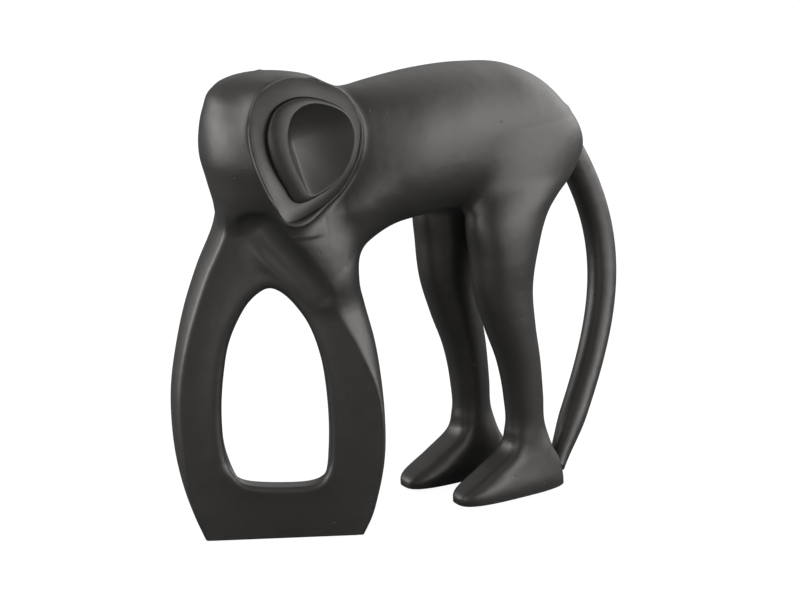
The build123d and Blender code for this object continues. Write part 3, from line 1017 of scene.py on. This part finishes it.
class Nodes:
    """A node tree under construction: nodes are added by type, settings first and then inputs."""

    def __init__(self, owner, output_kind):
        owner.use_nodes = True
        self.owner = owner
        self.tree = owner.node_tree
        self.tree.nodes.clear()
        self.output = self.tree.nodes.new(output_kind)

    def node(self, kind, settings, **inputs):
        made = self.tree.nodes.new(kind)
        for name, value in settings.items():
            setattr(made, name, value)
        for name, value in inputs.items():
            self.feed(made.inputs[name.replace("_", " ")], value)
        return made

    def feed(self, socket, value):
        if isinstance(value, Term):
            self.tree.links.new(value.socket, socket)
        else:
            socket.default_value = value

    def term(self, kind, settings, output, **inputs):
        return Term(self, self.node(kind, settings, **inputs).outputs[output])

    def maths(self, operation, *values):
        made = self.tree.nodes.new("ShaderNodeMath")
        made.operation = operation
        for socket, value in zip(made.inputs, values):
            self.feed(socket, value)
        return Term(self, made.outputs[0])

    def seen(self):
        """One where the camera looks, straight or through glass, and nought elsewhere."""
        ray = self.node("ShaderNodeLightPath", {})
        return Term(self, ray.outputs["Is Camera Ray"]) + Term(self, ray.outputs["Is Transmission Ray"])

    def facing(self, direction, way):
        """How far a direction points along a way: their dot product."""
        made = self.tree.nodes.new("ShaderNodeVectorMath")
        made.operation = "DOT_PRODUCT"
        self.feed(made.inputs[0], direction)
        self.feed(made.inputs[1], way)
        return Term(self, made.outputs["Value"])


class Term:
    """A shader value that can be added, multiplied and so on like a number."""

    def __init__(self, nodes, socket):
        self.nodes = nodes
        self.socket = socket

    def __add__(self, other):
        return self.nodes.maths("ADD", self, other)

    __radd__ = __add__

    def __sub__(self, other):
        return self.nodes.maths("SUBTRACT", self, other)

    def __rsub__(self, other):
        return self.nodes.maths("SUBTRACT", other, self)

    def __mul__(self, other):
        return self.nodes.maths("MULTIPLY", self, other)

    __rmul__ = __mul__

    def ramp(self, low, high):
        """Nought below low, one above high and smooth between."""
        return self.nodes.term(
            "ShaderNodeMapRange",
            {"interpolation_type": "SMOOTHSTEP"},
            "Result",
            Value=self,
            From_Min=low,
            From_Max=high,
        )


class Finish(Nodes):
    """A material with one Principled shader."""

    def __init__(self, name, **inputs):
        super().__init__(bpy.data.materials.new(name), "ShaderNodeOutputMaterial")
        self.shader = self.node("ShaderNodeBsdfPrincipled", {}, **inputs)
        self.feed(self.output.inputs["Surface"], Term(self, self.shader.outputs[0]))

    def noise(self, place, scale, detail, **inputs):
        """Smooth noise from nought to one, of so many lumps to the metre."""
        return self.term("ShaderNodeTexNoise", {}, "Fac", Vector=place, Scale=scale, Detail=detail, **inputs)

    def bump(self, height):
        """Shading direction over a relief whose height is in metres."""
        return self.term("ShaderNodeBump", {}, "Normal", Height=height, Distance=1.0, Strength=1.0)

    def colour(self, red, green, blue):
        return self.term("ShaderNodeCombineColor", {}, "Color", Red=red, Green=green, Blue=blue)

    def set(self, **inputs):
        for name, value in inputs.items():
            self.feed(self.shader.inputs[name.replace("_", " ")], value)


def cast_finish(name, tone, roughness, relief):
    """Satin black coat over a casting: slow waves, lumps, fine grain and scattered pits, with painted shade
    darkening the colour in the pits.
    """
    finish = Finish(name, Specular_IOR_Level=1.0, Specular_Tint=(1.0, 0.96, 0.92, 1))
    place = finish.term("ShaderNodeTexCoord", {}, "Object")
    slow = finish.noise(place, 60.0, 2.0)
    lumps = finish.noise(place, 260.0, 3.0, Roughness=0.6)
    grain = finish.noise(place, 1800.0, 3.0, Roughness=0.65)
    near = finish.term("ShaderNodeTexVoronoi", {}, "Distance", Vector=place, Scale=240.0)
    chance = finish.noise(place, 90.0, 1.0)
    # Scattered pits: real relief in the bump height, and painted shade where the same mask darkens the colour
    pits_and_painted_pit_shade = (1 - near.ramp(0.06, 0.16)) * chance.ramp(0.60, 0.68)
    height = relief * (slow * 0.0005 + lumps * 0.00006 - pits_and_painted_pit_shade * 0.0002) + grain * 0.000022
    # Colour: random tone from the grain, darkened in the pits as painted shade
    shade = tone * (0.75 + 0.5 * grain) * (1 - 0.6 * pits_and_painted_pit_shade)
    colour = finish.colour(shade, shade * 0.97, shade * 0.93)
    finish.set(Base_Color=colour, Normal=finish.bump(height))
    finish.set(Roughness=roughness - 0.08 + grain * 0.10 + lumps * 0.06)
    return finish.owner


def paint(material, *names):
    """Makes one material the only one of the named pieces."""
    for name in names:
        piece = bpy.data.objects[name]
        piece.data.materials.clear()
        piece.data.materials.append(material)


def steel_finish(name):
    """Ground steel dowel: bright metal with fine streaks round it and a faint haze."""
    finish = Finish(name, Metallic=1.0)
    place = finish.term("ShaderNodeTexCoord", {}, "Object")
    drawn = finish.term("ShaderNodeMapping", {}, "Vector", Vector=place, Scale=(1.0, 1.0, 9.0))
    streaks = finish.noise(drawn, 900.0, 4.0)
    haze = finish.noise(place, 120.0, 2.0)
    shade = 0.48 + streaks * 0.14
    colour = finish.colour(shade, shade, shade * 1.02)
    finish.set(Base_Color=colour, Normal=finish.bump(streaks * 0.00002))
    finish.set(Roughness=0.22 + streaks * 0.12 + haze * 0.08)
    return finish.owner


def felt_finish(name):
    """Matt felt: tangled short fibres, with thicker and thinner places."""
    finish = Finish(name, Roughness=0.95)
    place = finish.term("ShaderNodeTexCoord", {}, "Object")
    fibres = finish.noise(place, 2600.0, 4.0, Distortion=2.5)
    clumps = finish.noise(place, 500.0, 2.0)
    shade = 0.010 + fibres * 0.016 + clumps * 0.006
    finish.set(Base_Color=finish.colour(shade, shade, shade))
    finish.set(Normal=finish.bump(fibres * 0.00012 + clumps * 0.0001))
    return finish.owner


# Roughness, and how strong the slow waves, lumps and pits are
coat_tone = 0.015
black = cast_finish("black_casting_finish", coat_tone, 0.42, 1.0)
face_black = cast_finish("face_casting_finish", coat_tone, 0.40, 0.5)
tail_black = cast_finish("tail_rod_finish", coat_tone, 0.42, 1.3)
paint(black, *[node + "_skin" for node in castings], "core_plug")
paint(face_black, "face_collar", "face_hollow")
paint(tail_black, "tail_rod")
shoulder_pins = ("right_shoulder_pin", "left_shoulder_pin")
hip_pins = ("right_hip_pin", "left_hip_pin")
paint(steel_finish("steel_dowel_finish"), "neck_pin", *shoulder_pins, "hand_pin", *hip_pins, "tail_pin")
paint(felt_finish("felt_pad_finish"), "hand_pad", "right_foot_pad", "left_foot_pad")

# Floor, which adds to its own light what it needs to be seen as white
floor_reach = 4.0
floor_tone = 0.12
floor_white = 0.95
floor_mesh = bpy.data.meshes.new("floor")
floor_corners = [(-floor_reach, -floor_reach, 0), (floor_reach, -floor_reach, 0)]
floor_corners += [(floor_reach, floor_reach, 0), (-floor_reach, floor_reach, 0)]
floor_mesh.from_pydata(floor_corners, [], [(0, 1, 2, 3)])
floor = bpy.data.objects.new("floor", floor_mesh)
bpy.context.scene.collection.objects.link(floor)
floor_finish = Finish("floor_finish", Base_Color=(floor_tone, floor_tone, floor_tone, 1), Roughness=0.9)
floor_finish.set(Emission_Color=(1, 1, 1, 1))
floor_finish.set(Emission_Strength=floor_finish.seen() * floor_white)
floor_mesh.materials.append(floor_finish.owner)

# Camera, at the photograph's angle
azimuth = radians(50)
elevation = radians(17)
camera_distance = 1.2
back = Vector((cos(elevation) * sin(azimuth), -cos(elevation) * cos(azimuth), sin(elevation)))
target = Vector(origin) + Vector((0.020, 0.030, 0.120))
camera_data = bpy.data.cameras.new("camera")
camera_data.lens = 108
camera_data.sensor_width = 36
camera = bpy.data.objects.new("camera", camera_data)
bpy.context.scene.collection.objects.link(camera)
camera.location = target + back * camera_distance
camera.rotation_euler = back.to_track_quat("Z", "Y").to_euler()
bpy.context.scene.camera = camera
bpy.context.scene.view_settings.view_transform = "Standard"

# Lamps: directions to the camera's right and towards it, and where the panels lie and aim
side = Vector((cos(azimuth), sin(azimuth), 0))
ahead = Vector((sin(azimuth), -cos(azimuth), 0))
panel_height = 0.03
panel_aim = Vector(origin) + Vector((0, 0, 0.40))


def panel(name, aside, forward, size, power):
    """Square panel of light low over the floor, unseen by the camera, that leans towards the figure."""
    data = bpy.data.lights.new(name, "AREA")
    data.shape = "SQUARE"
    data.size = size
    data.energy = power
    made = bpy.data.objects.new(name, data)
    bpy.context.scene.collection.objects.link(made)
    made.location = Vector(origin) + side * aside + ahead * forward + Vector((0, 0, panel_height))
    made.rotation_euler = (made.location - panel_aim).to_track_quat("Z", "Y").to_euler()
    made.visible_camera = False


# Each panel: metres to the camera's right and towards it, size, watts
panel("front_panel", -0.12, 0.42, 0.24, 0.26)
panel("front_right_panel", 0.40, 0.42, 0.32, 0.36)
panel("right_panel", 0.52, 0.18, 0.50, 1.2)
panel("left_panel", -0.50, 0.22, 0.70, 2.7)

# Surroundings: white to the camera, and for gloss and light a dark studio with soft bright cards. Each card:
# degrees round from the camera to its right, degrees up, narrowness, strength
cards = {
    "right": (90, 2, 6, 2.5),
    "front_right": (48, 6, 8, 1.15),
    "rear_right": (135, 15, 7, 2.3),
    "rear": (185, 35, 5, 0.48),
    "left": (272, 3, 7, 3.5),
    "front_left": (312, 20, 10, 1.2),
    "top": (0, 90, 6, 0.75),
}
surroundings = Nodes(bpy.data.worlds.new("surroundings"), "ShaderNodeOutputWorld")
bpy.context.scene.world = surroundings.owner
direction = surroundings.term("ShaderNodeTexCoord", {}, "Generated")
studio = 0.0
for turn, tilt, narrowness, strength in cards.values():
    compass = azimuth + radians(turn)
    way = (cos(radians(tilt)) * sin(compass), -cos(radians(tilt)) * cos(compass), sin(radians(tilt)))
    nearness = surroundings.maths("MAXIMUM", surroundings.facing(direction, way), 0.0)
    studio = surroundings.maths("POWER", nearness, narrowness) * strength + studio
seen = surroundings.seen()
level = seen + (1 - seen) * studio
background = surroundings.term("ShaderNodeBackground", {}, "Background", Color=(1, 1, 1, 1), Strength=level)
surroundings.feed(surroundings.output.inputs["Surface"], background)
